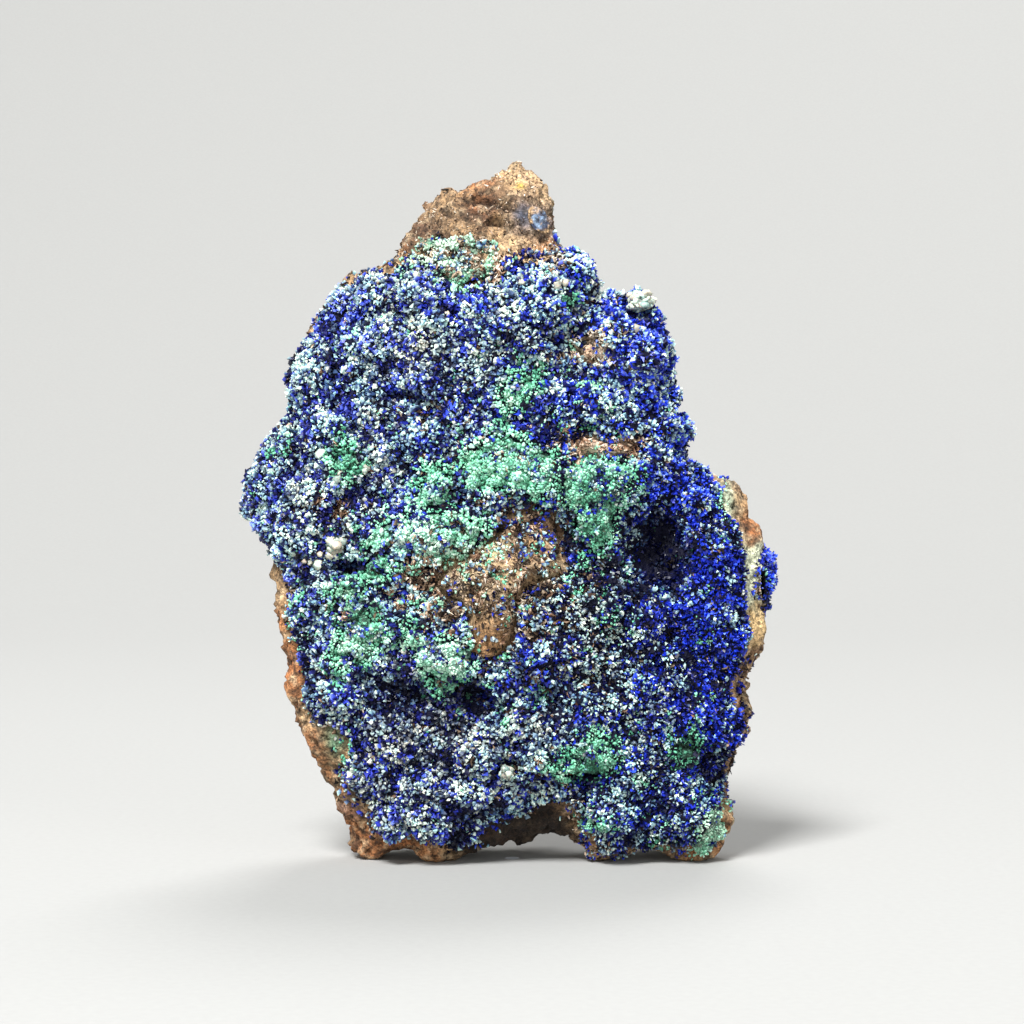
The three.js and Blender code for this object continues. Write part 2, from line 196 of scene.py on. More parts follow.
def broken_rock(name, roughness=0.92):
    """Iron-stained rock, broken: dull, gritty, tan to rust, with pores between paler grains darkened as
    painted shade.
    """
    material, tree = new_material(name)
    place = object_place(tree)
    colour_and_shade = painted(tree, "colour_and_shade", "Color")
    # Grit of 0.2 to 0.3 mm.
    grit = add(tree, "ShaderNodeTexVoronoi", {"Vector": place, "Scale": 3800.0, "Randomness": 1.0})
    grit_tone = add(tree, "ShaderNodeSeparateColor", {"Color": grit.outputs["Color"]}).outputs[0]
    tone = add(tree, "ShaderNodeMapRange", {"Value": grit_tone, "To Min": 0.50, "To Max": 1.60}).outputs[0]
    gritty = scaled(tree, colour_and_shade, tone)
    # Pores under 1 mm apart, darker where they sink: painted shade.
    net = {"Vector": place, "Scale": 1300.0, "Detail": 6.0, "Roughness": 0.75}
    pores = add(tree, "ShaderNodeTexNoise", net).outputs[0]
    dark = {"Value": pores, "From Min": 0.40, "From Max": 0.50, "To Min": 0.35, "To Max": 1.0}
    colour = scaled(tree, gritty, add(tree, "ShaderNodeMapRange", dark).outputs[0])
    relief = bump(tree, pores, 0.8, 0.0004)
    relief = bump(tree, grit.outputs["Distance"], 0.5, 0.00015, Normal=relief)
    finish_material(tree, Base_Color=colour, Roughness=roughness, IOR=1.5, Normal=relief)
    return material


def crystal_ground(name):
    """The fine dark ground of a druse, in the gaps between its crystals: it reads as deep shade."""
    material, tree = new_material(name)
    place = object_place(tree)
    colour_and_shade = painted(tree, "colour_and_shade", "Color")
    sugar = add(tree, "ShaderNodeTexVoronoi", {"Vector": place, "Scale": 2600.0})
    relief = bump(tree, sugar.outputs["Distance"], 0.8, 0.0003)
    finish_material(tree, Base_Color=colour_and_shade, Roughness=0.7, IOR=1.73, Specular_IOR_Level=0.1, Normal=relief)
    return material


def mineral(name, plain, tinged, **surface):
    """Small bodies of one mineral: darker at the root than at the tip as painted shade, some plain in colour
    and some tinged.

    Plain and tinged are each five hex colours, from the darkest tone to the palest.
    """
    material, tree = new_material(name)
    tone = painted(tree, "tone", "Fac")
    hue = painted(tree, "hue", "Fac")
    ramps = []
    for colours in (plain, tinged):
        ramp = add(tree, "ShaderNodeValToRGB", {"Fac": tone})
        for position in (0.25, 0.5, 0.75):
            ramp.color_ramp.elements.new(position)
        for element, colour in zip(ramp.color_ramp.elements, colours.split()):
            element.color = linear(colour)
        ramps.append(ramp.outputs[0])
    colour = add(tree, "ShaderNodeMix", {"Factor": hue, 6: ramps[0], 7: ramps[1]}, data_type="RGBA")
    finish_material(tree, Base_Color=colour.outputs[2], **surface)
    return material


def azurite_crystal():
    """Azurite, as grown: small glassy blades, royal blue, and near black at their lowest tones, which are
    partly painted shade.
    """
    plain = "#010209 #081464 #162fc6 #3258ee #8cb2f8"
    tinged = "#03040e #171957 #3842a8 #6a80da #bac8f0"
    return mineral("azurite_crystal", plain, tinged, Roughness=0.38, IOR=1.73, Specular_IOR_Level=0.2)


def white_dusting():
    """Chalky calcite and malachite dust caked on the crystals: matt white, tinged mint or cream."""
    plain = "#050a20 #33568a #8fbcc6 #caf0e3 #f3fdf5"
    tinged = "#0b0b10 #4e525e #aaaaa2 #dedccb #faf5e2"
    return mineral("calcite_dusting", plain, tinged, Roughness=0.6, IOR=1.55, Specular_IOR_Level=0.3)


def malachite_tuft():
    """Malachite, as velvety tufts: matt, mint on top, bottle green in their shade, in places grey-green."""
    plain = "#08211b #2b7459 #70c8a2 #abe6cb #e8fbf0"
    tinged = "#10170f #48624f #90ad95 #bdd4bc #ebf3e5"
    return mineral("malachite_tuft", plain, tinged, Roughness=0.7, IOR=1.65, Specular_IOR_Level=0.3)


def rock_crumb():
    """Splinters of the iron-stained rock: dull brown to cream, in places rusty pink."""
    plain = "#0b0806 #30271e #756756 #bdb19c #f4f0e2"
    tinged = "#120806 #472c1d #8f6a50 #caa68c #f3e2d2"
    return mineral("rock_crumb", plain, tinged, Roughness=0.85, IOR=1.5, Specular_IOR_Level=0.3)


def calcite_knot():
    """Calcite, in rounded knots: dull white to cream, with a little light passing in."""
    plain = "#30403f #7f9c95 #b9d2c6 #dcebdd #f4f0de"
    tinged = "#3f3b36 #928a7e #c6bca8 #e4dac2 #f8f0d8"
    return mineral("calcite_knot", plain, tinged, Roughness=0.5, IOR=1.55, Subsurface_Weight=0.15,
                   Subsurface_Scale=0.0004)


def malachite_crust(name):
    """Malachite, as a velvety crust of tiny tufts: matt mint green, paler on its knobs and darker between its
    tufts, as painted light and shade.
    """
    material, tree = new_material(name)
    place = object_place(tree)
    colour_and_shade = painted(tree, "colour_and_shade", "Color")
    # Tufts of 0.3 mm, with painted shade between them.
    tufts = add(tree, "ShaderNodeTexVoronoi", {"Vector": place, "Scale": 3000.0}).outputs["Distance"]
    shades = {"Value": tufts, "From Max": 0.8, "To Min": 1.2, "To Max": 0.45}
    tone = add(tree, "ShaderNodeMapRange", shades).outputs[0]
    colour = scaled(tree, colour_and_shade, tone)
    relief = bump(tree, tone, 0.7, 0.0003)
    finish_material(tree, Base_Color=colour, Roughness=0.8, IOR=1.6, Normal=relief)
    return material


# ---- where things lie on the face


def spot_field(x, z, base, spots):
    """A number over the face: a base plus soft round spots, each (x, z, radius x, radius z, amount)."""
    total = np.full(len(x), float(base))
    for at_x, at_z, wide, tall, amount in spots:
        total += amount * np.exp(-((x - at_x) / wide) ** 2 - ((z - at_z) / tall) ** 2)
    return total


# How much of the crust the white dusting covers.
DUSTED = [
    (27, 38, 7, 12, -0.34), (24, 52, 5, 3, -0.34), (28, 20, 6, 8, -0.4), (18, 34, 5, 7, -0.14),
    (-10, 68, 13, 9, 0.18), (0, 77, 9, 4, 0.08), (-6, 76.5, 2, 2, -0.3), (17, 69, 7, 5, -0.14),
    (14.5, 73.5, 2.5, 3, -0.25), (22, 24, 7, 8, -0.1), (11, 28, 7, 9, 0.12), (-24, 60, 8, 14, 0.05),
    (2, 28.5, 4, 3, -0.25), (-5, 13, 14, 7, 0.16), (12.6, 50.7, 2.6, 1.8, -0.4), (-22, 74, 3, 3, -0.2),
    (35, 38, 3, 7, -0.4), (-12.5, 79, 3, 3, -0.15), (2.2, 80.6, 2.2, 2, -0.3), (5, 60, 4, 6, -0.12),
    (20, 10, 8, 7, -0.1), (-29, 68, 4, 4, 0.1),
]
# How bright the blue is.
BLUE_LIGHT = [
    (27, 38, 6, 12, 0.2), (25, 51, 6, 3, 0.34), (2, 29, 4, 4, 0.3), (13.5, 73.5, 3, 4, 0.3),
    (-23, 74, 6, 5, 0.24), (-33, 50, 3, 8, 0.16), (0, 78, 12, 4, 0.2), (-14, 68, 10, 9, 0.05),
    (8, 30, 9, 10, -0.2), (12, 38, 6, 8, -0.26), (28, 20, 6, 9, -0.12), (-5, 15, 12, 6, -0.05),
    (-4, 20, 10, 5, -0.16), (-18, 24, 7, 4, -0.12), (35, 38, 3, 7, 0.25), (-14, 64, 6, 4, 0.08),
    (20, 64, 6, 10, 0.22),
]
# Where cavities and undercuts keep the light out.
SHADED = [
    (-7, 49.4, 1.5, 1.3, 0.6), (19.6, 43.4, 3.1, 3.7, 1.4), (22, 42, 2.6, 1.6, 0.9), (20.5, 38.5, 4, 2, 0.8),
    (-5.6, 23, 3, 2.6, 0.9), (-13.5, 23.5, 4, 2.2, 0.6), (-21, 40.2, 3.4, 1.1, 0.9),
    (-13.6, 62.6, 2.4, 1.2, 0.7), (10.2, 12.2, 2.2, 1.2, 0.8), (7.6, 43.4, 2.4, 2.4, 0.6),
    (19.4, 8, 1.8, 1.6, 0.6), (13, 37, 3, 5, 0.25), (-19.4, 50.2, 2.2, 1, 0.6), (25, 32, 3, 1.2, 0.4),
    (5, 24, 6, 4, 0.25), (-24, 63, 2, 1.2, 0.3), (-7, 8, 2.4, 1.4, 0.6), (15, 25, 8, 10, 0.08),
    (-15, 20, 8, 6, 0.15), (1, 67, 3, 2, 0.25), (25.5, 14, 1.6, 2.4, 0.5),
]
# Loose malachite tufts between the crystals.
GREENED = [
    (-14, 44, 8, 5, 0.34), (9, 48, 4, 8, 0.36), (0, 53, 8, 4, 0.3), (-20, 33, 5, 7, 0.3),
    (10, 62, 4, 4, 0.22), (2, 63, 4, 3, 0.22), (3.5, 23.5, 1.2, 1.2, 0.8), (-0.5, 21, 1, 1, 0.6),
    (13.4, 33, 1.8, 1.6, 0.5), (10, 30, 2, 1.2, 0.35), (-7, 28, 5, 5, 0.3), (11, 15, 5, 3, 0.3),
    (10.6, 5.6, 1.7, 1.5, 0.75), (19.4, 2.8, 2.6, 1.1, 0.45), (23, 16.5, 3, 3, 0.25),
    (7.6, 75.3, 1.2, 1, 0.8), (-12.4, 71, 1.4, 1, 0.5), (-1.2, 70, 1, 1.2, 0.6), (-29.5, 27, 2, 6, 0.4),
    (-22.6, 15, 1.6, 3, 0.55), (29.3, 49, 1.6, 3, 0.7), (-12, 80, 4, 2, 0.3), (13, 9, 3, 4, 0.2),
    (-31, 56, 2, 2, 0.35), (12, 40, 3, 8, 0.15), (8, 80, 2, 3, 0.2), (21, 42, 2, 1.2, 0.25),
    (-8, 41, 8, 4, 0.35), (-3, 49, 7, 2, 0.25), (-12, 35, 5, 4, 0.25), (10.2, 55, 1, 1.2, 0.9),
    (12, 56, 1.2, 1.6, 0.6), (13.6, 54, 1.6, 0.8, 0.7),
]
# Where the green is grey-green, and where the dusting is cream.
GREYED = [
    (-8, 82, 8, 4, 0.9), (-8, 38, 6, 5, 0.6), (27, 4, 4, 4, 0.6), (-21, 36, 3, 3, 0.5), (11, 67, 4, 6, 0.5),
]
CREAMY = [(-14, 15, 12, 10, 0.45), (-12, 70, 8, 8, 0.25), (-26, 48, 6, 5, 0.2), (6, 34, 8, 6, 0.2)]
# Where the rock comes out between the crusts.
OUTCROPS = [(-2, 39, 9, 10, 1), (10.6, 69, 3, 3, 0.7), (9, 55.8, 2.3, 2.8, 1.3), (14.8, 55.8, 2.1, 2.6, 1.15)]
# Where its smaller outcrops take their own tan and pink.
SMALL_OUTCROPS = [(10.6, 69, 3.6, 3.6, 1), (12, 56, 6, 4, 1)]
# Bare facets of the rock, where nothing grows.
FACETS = [(-3, 30.8, 2.8, 3.2, 1), (4.5, 39.5, 3, 1.3, 0.6)]
# How pale the green is.
GREEN_LIGHT = [
    (-21, 35, 4, 4, -0.2), (-8, 27, 4, 5, 0.36), (-12, 44, 8, 4, 0.3), (0, 53, 7, 4, 0.06),
    (10, 48, 4, 8, -0.04), (-9, 82, 6, 3, 0.28), (27, 4, 3, 4, 0.2), (-22, 55, 2, 2, -0.3),
    (23, 16, 3, 3, -0.3), (-20, 29, 4, 2, 0.15), (29.3, 49, 2, 3, 0.2), (-29.5, 27, 2, 6, -0.05),
]
# How bright the white dusting is.
WHITE_LIGHT = [
    (12, 30, 9, 12, 0.16), (-4, 20, 10, 5, 0.02), (0, 77, 12, 5, 0.06), (-12, 68, 14, 8, 0.04),
    (2, 28, 4, 4, -0.15), (-2, 39, 9, 8, -0.05),
]
# How pale the rock crumbs are.
CRUMB_LIGHT = [
    (10.6, 69, 4, 4, 0.3), (12, 56, 7, 4, 0.42), (-11, 38, 5, 5, 0.12), (-2.5, 80, 3, 2.6, 0.55),
    (5.6, 81.5, 2.4, 2.4, 0.3), (4, 48, 4, 3, -0.15), (-2, 42, 5, 2, 0.12), (-22.4, 34, 2, 2, 0.2),
    (0, 91, 12, 8, 0.22),
]
# Where the rock crumbs are pink.
PINK = [
    (-22.4, 34, 2, 2, 0.6), (12, 56, 7, 4, 0.5), (-2, 80, 3, 2, 0.4), (-12, 40, 2, 2, 0.5),
    (-25, 48, 3, 2, 0.5), (10.6, 69, 4, 4, -0.3),
]
# Knots of larger white grains.
WHITE_KNOTS = [
    (-19, 53.3, 1, 1, 1), (-22.7, 52, 1, 1, 1), (-26.4, 40.6, 1.6, 0.7, 1), (-12.6, 78.9, 1.2, 1, 1),
    (-12.7, 19, 0.8, 0.7, 1), (16.8, 71, 0.9, 0.8, 1), (-24.2, 42, 1.3, 0.8, 1), (-25, 55.5, 0.7, 0.7, 1),
    (6.2, 77.4, 1, 0.7, 1), (1.5, 78, 0.9, 0.6, 1), (-8.5, 73, 0.8, 0.7, 1),
]
# Where rock crumbs break through the green crusts.
BROKEN_GREEN = [
    (-22.4, 34, 1.1, 0.8, 0.9), (9, 56, 2.4, 2, 0.9), (15, 56, 2.4, 2, 0.9), (-11, 38.5, 5, 4, 0.8),
    (-6, 36, 3, 3, 0.7), (-3.5, 80.5, 2.6, 2.6, 0.9), (-7.5, 84.4, 8, 1.2, 0.8), (-12, 83, 3, 1.6, 0.5),
    (-8, 79.6, 3, 1.4, 0.5), (3.4, 45, 3, 2, 0.5), (-15, 44, 3, 2, 0.3),
]
# Where the green crusts leave room for crystals.
GREEN_GAPS = [
    (12.6, 50.7, 2.6, 1.7, 0.95), (0, 49, 2.2, 1.7, 0.9), (-7, 49.6, 1.8, 1.7, 0.85),
    (-13.6, 46.6, 2.4, 1, 0.8), (-15.5, 26.5, 1.6, 3, 0.6), (-12, 31.5, 1.2, 2.4, 0.4),
    (4.4, 56.5, 1.2, 3, 0.5), (-3, 58, 2, 1.2, 0.5),
]
# Where few blue crystals grow.
BLUE_SCARCE = [
    (-8, 82.6, 7, 2, 1.4), (-3, 38, 6, 7, 0.5), (-11, 39, 4, 3, 0.7), (4, 40, 4, 2, 0.8),
    (5.6, 81, 1.4, 1.6, 0.6), (9, 56, 2, 1.3, 0.8), (15, 56, 2, 1.3, 0.8), (0, 54, 6, 2.4, 0.6),
    (8, 47, 2, 3, 0.5), (10, 26, 8, 6, 0.2),
]
# Rock crumbs showing through.
CRUMBLED = [
    (-2, 39, 8, 9, 0.75), (-10.5, 38.5, 6.5, 5, 0.62), (5, 38, 4, 4, 0.35), (-8, 82, 5, 3, 0.4),
    (2.2, 80.6, 2.2, 1.8, -0.6), (10.6, 69, 2.6, 2.3, 1.2), (6.6, 69, 1.6, 1.2, 0.5),
    (9, 56.4, 1.8, 1.3, 1.2), (15, 56.2, 1.8, 1.3, 1.2), (-25.6, 48.4, 2.4, 1.2, 0.5),
    (-22.6, 47.6, 1.2, 1.2, 0.6), (7.5, 6.8, 2.2, 2.6, 0.8), (-11, 60, 4, 2, 0.25), (-3, 80.2, 2.6, 2.2, 1),
    (5.6, 81, 1.4, 1.6, 0.8), (3, 44, 4, 3.4, -0.35), (-6.5, 22, 3, 3, 0.15), (0, 13, 4, 2, 0.2),
    (12, 26, 2, 2, 0.12), (13.6, 45, 1.2, 1, 0.5),
]
# The hollow under the lower edge, painted dark as its shade.
CAVE_SHADE = [(0.5, 3, 7, 5.5, 1)]

# Stains of the rock, each a colour, its strength and its spots.
# On the summit: tan, rust, ochre, brown and blue-grey.
SUMMIT_STAINS = [
    ("#e0bd92", 0.8, [(3.5, 80.5, 4.5, 2.2, 1.0), (1.5, 92.5, 3, 2.5, 0.7), (4.5, 89, 1.6, 3, 0.6),
                      (-2, 80.5, 3, 2.4, 0.9)]),
    ("#b87a48", 0.6, [(4.6, 83.0, 1.8, 0.9, 1.0), (-5.4, 89.2, 1.2, 0.9, 0.6), (6, 82, 1.2, 1.2, 0.5)]),
    ("#dfc04e", 0.8, [(1.0, 90.7, 0.5, 0.4, 1.0)]),
    ("#4d3a2c", 0.6, [(-8, 87, 4, 2.5, 0.8), (-10.5, 85, 3, 2, 0.6), (-2, 90, 3, 1, 0.5),
                      (1.6, 87.8, 2.2, 1.2, 0.6)]),
    ("#4f5d72", 0.75, [(1.2, 86.8, 1.2, 1.8, 0.8), (3.8, 86.2, 2.6, 2.4, 0.8)]),
]
# On the boss: brown above, pale and fibrous in the middle, a flat tan facet below.
BOSS_STAINS = [
    ("#5a4433", 0.6, [(4, 48, 4, 3.4, 1.0)]),
    ("#c0aa88", 0.7, [(-5.4, 38.2, 5.5, 4.4, 1.0), (4.5, 39.6, 3.8, 1.7, 0.8)]),
    ("#c9bb92", 0.7, [(-3.5, 42.8, 3.4, 1.4, 1.0)]),
    ("#9d7650", 0.85, [(-3, 30.8, 3.2, 3.2, 1.2)]),
]
# On the right side, above the flank crust.
RIGHT_STAINS = [("#bcd0b4", 0.8, [(28.8, 48.5, 0.9, 3.2, 1.0)])]
# On the lower left rim: olive, green and pinkish.
LOWER_LEFT_STAINS = [
    ("#857a5e", 0.75, [(-23, 15.5, 2.8, 6.5, 1.0)]),
    ("#6fa080", 0.7, [(-23.6, 16.9, 1.1, 2.4, 1.0)]),
    ("#b08a78", 0.7, [(-22, 7.4, 1.6, 1.4, 1.0)]),
]


def within(x, z, middle_x, middle_z, wide, tall):
    """Whether each point of the face is inside an ellipse, wide and tall being its half widths."""
    return np.hypot((x - middle_x) / wide, (z - middle_z) / tall) < 1


def wander(points, size, seed):
    """Soft noise from about -1 to 1 at each point, with lumps of the size in millimetres."""
    shift = Vector((seed * 17.3, seed * 5.1, seed * 9.7))
    return np.array([noise.fractal(Vector(p) / size + shift, 1.0, 2.0, 3) for p in points])


def knobs(points, size, seed):
    """Rounded knobs of a size in millimetres: 1 on the top of each, and 0 in the creases between them."""
    shift = Vector((seed * 13.1, seed * 7.7, seed * 3.9))
    nearest = [noise.voronoi(Vector(p) / size + shift)[0] for p in points]
    gaps = np.array([(d[0], d[1]) for d in nearest])
    return np.clip(1 - gaps[:, 0] ** 2 * 1.6, 0, 1) * np.clip((gaps[:, 1] - gaps[:, 0]) * 4, 0, 1) ** 0.5


def smoothstep(low, high, value):
    """Rises softly from 0 at low to 1 at high; low may be the larger."""
    share = np.clip((value - low) / (high - low), 0, 1)
    return share * share * (3 - 2 * share)


def patches(points, low, high, size, seed):
    """Soft patches of a size in millimetres: 0 where the noise is below low, 1 where it is above high."""
    return smoothstep(low, high, wander(points, size, seed))


# ---- making meshes


def corners_of(mesh):
    """A mesh's points and normals in millimetres, as arrays."""
    points = np.empty(len(mesh.vertices) * 3)
    normals = np.empty(len(mesh.vertices) * 3)
    mesh.vertices.foreach_get("co", points)
    mesh.vertices.foreach_get("normal", normals)
    return points.reshape(-1, 3) / MM, normals.reshape(-1, 3)


def remeshed(node, name, voxel, rounds):
    """A CAD node's shape as an even net of small faces, voxel millimetres wide, with its facets eased."""
    made = new_object(name, frame["nodes"][node].data.copy())
    made.data.materials.clear()
    modifier = made.modifiers.new("even_net", "REMESH")
    modifier.mode = "VOXEL"
    modifier.voxel_size = voxel * MM
    modifier.use_smooth_shade = True
    settled = made.evaluated_get(bpy.context.evaluated_depsgraph_get())
    mesh = bpy.data.meshes.new_from_object(settled)
    mesh.name = name
    made.modifiers.clear()
    made.data = mesh
    ease(made, rounds)
    return made


def ease(piece, rounds):
    """Moves each point towards the middle of its neighbours, some rounds over, except at the foot."""
    points, _ = corners_of(piece.data)
    ends = np.empty(len(piece.data.edges) * 2, np.int32)
    piece.data.edges.foreach_get("vertices", ends)
    one, other = ends.reshape(-1, 2).T
    loose = smoothstep(0.5, 3.0, points[:, 2])[:, None]
    for _ in range(rounds):
        around = np.zeros_like(points)
        for axis in range(3):
            around[:, axis] = (np.bincount(one, points[other, axis], len(points))
                               + np.bincount(other, points[one, axis], len(points)))
        around /= np.bincount(ends, minlength=len(points))[:, None]
        points += 0.5 * loose * (around - points)
    reshape(piece, points)


def reshape(piece, points):
    """Moves a piece's points to new places in millimetres, no lower than the level it stands on."""
    points = points.copy()
    points[:, 2] = np.maximum(points[:, 2], 0)
    piece.data.vertices.foreach_set("co", (points * MM).ravel())
    piece.data.update()


def paint(piece, colours):
    """Gives a piece a colour at each point, as linear RGB: its own colour, with painted light and shade on
    some pieces.
    """
    layer = piece.data.attributes.new("colour_and_shade", "FLOAT_COLOR", "POINT")
    layer.data.foreach_set("color", np.column_stack([colours, np.ones(len(colours))]).ravel())


def blend(share, low, high):
    """From the colour low to the colour high by share; each is a hex colour or an array of colours."""
    ends = [np.array(linear(c)[:3])[None, :] if isinstance(c, str) else c for c in (low, high)]
    share = np.clip(share, 0, 1)[:, None]
    return ends[0] * (1 - share) + ends[1] * share


def tree_of(*pieces):
    """A search tree over pieces' surfaces, in millimetres."""
    points, faces = [], []
    for piece in pieces:
        start = len(points)
        points += [tuple(v.co / MM) for v in piece.data.vertices]
        faces += [tuple(start + i for i in face.vertices) for face in piece.data.polygons]
    return BVHTree.FromPolygons(points, faces)


def distances(tree, points, limit=6.0):
    """How far each point is from a tree's surface, at most the limit."""
    found = (tree.find_nearest(Vector(p), limit)[3] for p in points)
    return np.array([limit if d is None else d for d in found])


def finish_piece(piece, material, slot, *nodes):
    """Gives a piece its material and names the solids that it stands for; the slot is not used."""
    piece.data.materials.clear()
    piece.data.materials.append(material)
    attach(piece, "root")
    if nodes:
        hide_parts(*nodes)


# ---- scattered crystals and grains


# Random points tried for each cell of a surface, of which one is kept.
TRIES = 3


def surface_points(pieces, cell):
    """Points on pieces, about a cell apart, in millimetres: places, normals and which piece each is on."""
    places, outwards, owners = [], [], []
    for number, piece in enumerate(pieces):
        points, _ = corners_of(piece.data)
        piece.data.calc_loop_triangles()
        corners = np.empty(len(piece.data.loop_triangles) * 3, np.int32)
        piece.data.loop_triangles.foreach_get("vertices", corners)
        a, b, c = (points[corners.reshape(-1, 3)[:, k]] for k in range(3))
        across = np.cross(b - a, c - a)
        area = np.linalg.norm(across, axis=1) / 2
        count = int(area.sum() / cell ** 2 * TRIES)
        face = chance.choice(len(area), count, p=area / area.sum())
        u, v = chance.random((2, count, 1))
        over = (u + v) > 1
        u, v = np.where(over, 1 - u, u), np.where(over, 1 - v, v)
        places.append(a[face] + u * (b - a)[face] + v * (c - a)[face])
        outwards.append(across[face] / (2 * area[face, None]))
        owners.append(np.full(count, number))
    places, outwards, owners = np.concatenate(places), np.concatenate(outwards), np.concatenate(owners)
    _, first = np.unique(np.floor(places / cell).astype(int), axis=0, return_index=True)
    return places[first], outwards[first], owners[first]


def turned(normals, tilt):
    """Rotations whose third axis is near each normal, leaning by about tilt, with a random turn."""
    lean = normals + chance.normal(0, tilt, normals.shape)
    third = lean / np.linalg.norm(lean, axis=1, keepdims=True)
    other = chance.normal(0, 1, normals.shape)
    first = np.cross(other, third)
    first /= np.linalg.norm(first, axis=1, keepdims=True)
    return np.stack([first, np.cross(third, first), third], axis=2)


# A crystal: a three-sided blade with a slanting top.
BLADE = np.array([(-0.50, -0.30, -0.5), (0.50, -0.30, -0.5), (0.05, 0.42, -0.5),
                  (-0.42, -0.16, 0.25), (0.40, -0.26, 0.50), (0.00, 0.34, 0.38)])
# A grain: three corners below, and three above between them.
GRAIN = np.array([(-0.40, -0.24, -0.5), (0.40, -0.24, -0.5), (0.00, 0.46, -0.5),
                  (0.00, -0.44, 0.34), (0.40, 0.24, 0.42), (-0.40, 0.22, 0.34)])
# Both have the same faces.
BODY_FACES = np.array([(2, 1, 0), (3, 4, 5), (0, 1, 3), (1, 4, 3), (1, 2, 4), (2, 5, 4), (2, 0, 5),
                       (0, 3, 5)])


def grown(name, shape, faces, places, turns, sizes, tones, hues, wobble, shaded_root_tone, smooth):
    """One mesh of many small bodies: each a copy of a shape, turned, sized and a little misshapen.

    At the foot of each body, tones fall to the given root share times their value, as painted shade. Smooth
    rounds its shading.
    """
    count, corners = len(places), len(shape)
    local = (shape[None] + chance.normal(0, wobble, (count, corners, 3))) * sizes[:, None, :]
    points = places[:, None, :] + np.einsum("nij,nkj->nki", turns, local)
    links = faces[None] + (np.arange(count) * corners)[:, None, None]
    rise = (shape[:, 2] - shape[:, 2].min()) / np.ptp(shape[:, 2])
    # Painted shade: each body darkens from its tip down to its root.
    corner_tones = np.clip(tones[:, None] * (shaded_root_tone + (1 - shaded_root_tone) * rise[None, :]), 0, 1)
    corner_hues = np.clip(hues, 0, 1)[:, None].repeat(corners, 1)
    mesh = bpy.data.meshes.new(name)
    mesh.from_pydata((points.reshape(-1, 3) * MM).tolist(), [], links.reshape(-1, faces.shape[1]).tolist())
    note(mesh, "tone", corner_tones)
    note(mesh, "hue", corner_hues)
    # Every corner lies on the map by its tone and hue, so bodies of one colour share a place on it.
    flat = 0.01 + 0.97 * np.stack([corner_tones, corner_hues], 2) + 0.006 * (shape[None, :, :2] + 0.5)
    layer = mesh.uv_layers.new(name="OFBake")
    corner_points = np.empty(len(mesh.loops), np.int32)
    mesh.loops.foreach_get("vertex_index", corner_points)
    layer.uv.foreach_set("vector", flat.reshape(-1, 2)[corner_points].astype(np.float32).ravel())
    if smooth:
        mesh.shade_smooth()
    return new_object(name, mesh)


def note(mesh, name, values):
    """Keeps a number for each point of a mesh, for its material to read."""
    mesh.attributes.new(name, "FLOAT", "POINT").data.foreach_set("value", values.ravel())


def ranks(*fields):
    """Numbers spread evenly from 0 to 1, in the order of a sum of (field, weight) pairs and of chance."""
    mixed = sum(weight * field / field.std() for field, weight in fields)
    mixed = mixed + chance.normal(0, 1 - sum(abs(weight) for _, weight in fields), len(mixed))
    places = np.empty(len(mixed))
    places[np.argsort(mixed)] = np.linspace(0, 1, len(mixed))
    return places


def against(tree, points, normals):
    """Whether each point faces a tree's surface closely, so that nothing can grow on it."""
    reach, ahead = 1.0, 0.7
    found = []
    for point, normal in zip(points, normals):
        near = tree.find_nearest(Vector(point), reach)[0]
        gap = None if near is None else near - Vector(point)
        found.append(gap is not None and gap.dot(Vector(normal)) > ahead * gap.length)
    return np.array(found)


def cells(points, size, seed):
    """A number from 0 to 1 at each point, alike within each cell, as in a heap of angular grains."""
    shift = Vector((seed * 6.1, seed * 15.7, seed * 3.3))
    middles = (noise.voronoi(Vector(p) / size + shift)[1][0] for p in points)
    return np.array([noise.cell(middle * 97) for middle in middles])


# ---- the rock


def splinters(points, size, seed):
    """Flat breaks at many angles, as a height in millimetres: each lump of rock has its own slope."""
    shift = Vector((seed * 11.9, seed * 4.3, seed * 8.1))
    heights = []
    for point in points:
        place = Vector(point) / size + shift
        middle = noise.voronoi(place)[1][0]
        slope = noise.cell_vector(middle * 97) - Vector((0.5, 0.5, 0.5))
        heights.append(2 * slope.dot(place - middle) * size)
    return np.array(heights)


def rock_height(points, normals, from_druse, pits, crease):
    """How far the broken rock stands out of its plain solid at each point, in millimetres."""
    x, y, z = points.T
    height = 0.7 * wander(points, 7.0, 1) + 0.3 * wander(points, 2.0, 2) + 0.16 * splinters(points, 4.5, 5)
    height += 0.30 * splinters(points, 1.7, 6) - 0.7 * pits - 0.9 * crease
    # The sides and back broke along larger faces.
    back = smoothstep(-5, 4, y)
    height += back * (0.10 * splinters(points, 11.0, 9) + 0.9 * wander(points, 12.0, 10) - 0.4)
    height += smoothstep(3, 9, y) * (0.34 * splinters(points, 14.0, 21) + 0.20 * splinters(points, 6.0, 22)
                                     - 0.6)
    # The outcrops stand level with the crust around them.
    outcrop = (y < 0) * (normals[:, 1] < FACING) * smoothstep(1.0, 3.0, 36 - np.abs(x))
    outcrop *= np.clip(spot_field(x, z, 0, OUTCROPS), 0, 1.3) * smoothstep(0.0, 0.5, from_druse)
    height += 2.9 * outcrop
    bare = smoothstep(0.2, 1.2, from_druse)
    foot = smoothstep(0.0, 2.5, z)
    return bare * height * (0.25 + 0.75 * foot)


